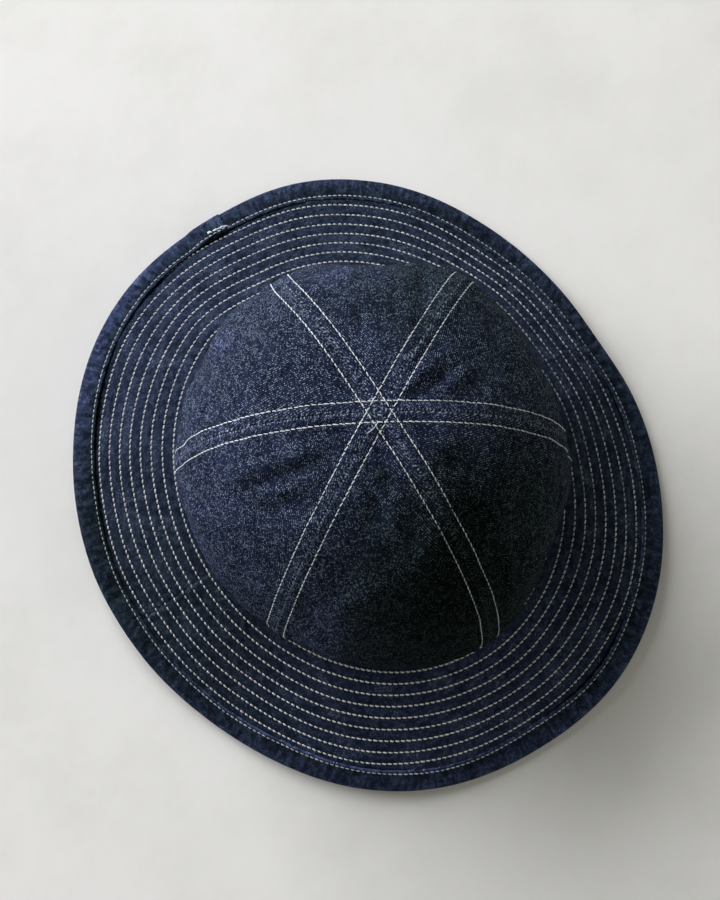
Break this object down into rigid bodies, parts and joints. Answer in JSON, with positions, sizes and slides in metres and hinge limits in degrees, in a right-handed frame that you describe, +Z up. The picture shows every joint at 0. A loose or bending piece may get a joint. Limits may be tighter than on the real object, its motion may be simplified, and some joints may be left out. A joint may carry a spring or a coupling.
{
  "type": "soft denim army hat",
  "caption": "Soft round-brimmed army hat of washed denim, with a gored crown, a stitched double brim and a bound edge, resting on its brim.",
  "frame": {"origin": "on the floor, under the middle of the brim's outline", "axes": "+Z up, +Y towards the back of the head where the binding is joined, +X towards the wearer's left"},
  "size_m": [0.2943, 0.3299, 0.148],
  "materials": {
    "crown_denim": "washed dark indigo denim, matt, with pale specks on the weave",
    "brim_denim": "washed dark indigo denim, matt",
    "binding_denim": "dark indigo denim cut on the bias, matt, worn lighter along the edge",
    "thread": "matt off-white cotton sewing thread"
  },
  "bodies": {
    "root": {"crown_panel_left": "crown_denim", "crown_panel_left_back": "crown_denim", "crown_panel_left_front": "crown_denim", "crown_panel_right": "crown_denim", "crown_panel_right_back": "crown_denim", "crown_panel_right_front": "crown_denim", "brim_upper_front": "brim_denim", "brim_upper_back": "brim_denim", "brim_under_front": "brim_denim", "brim_under_back": "brim_denim", "brim_binding": "binding_denim"}
  },
  "joints": []
}
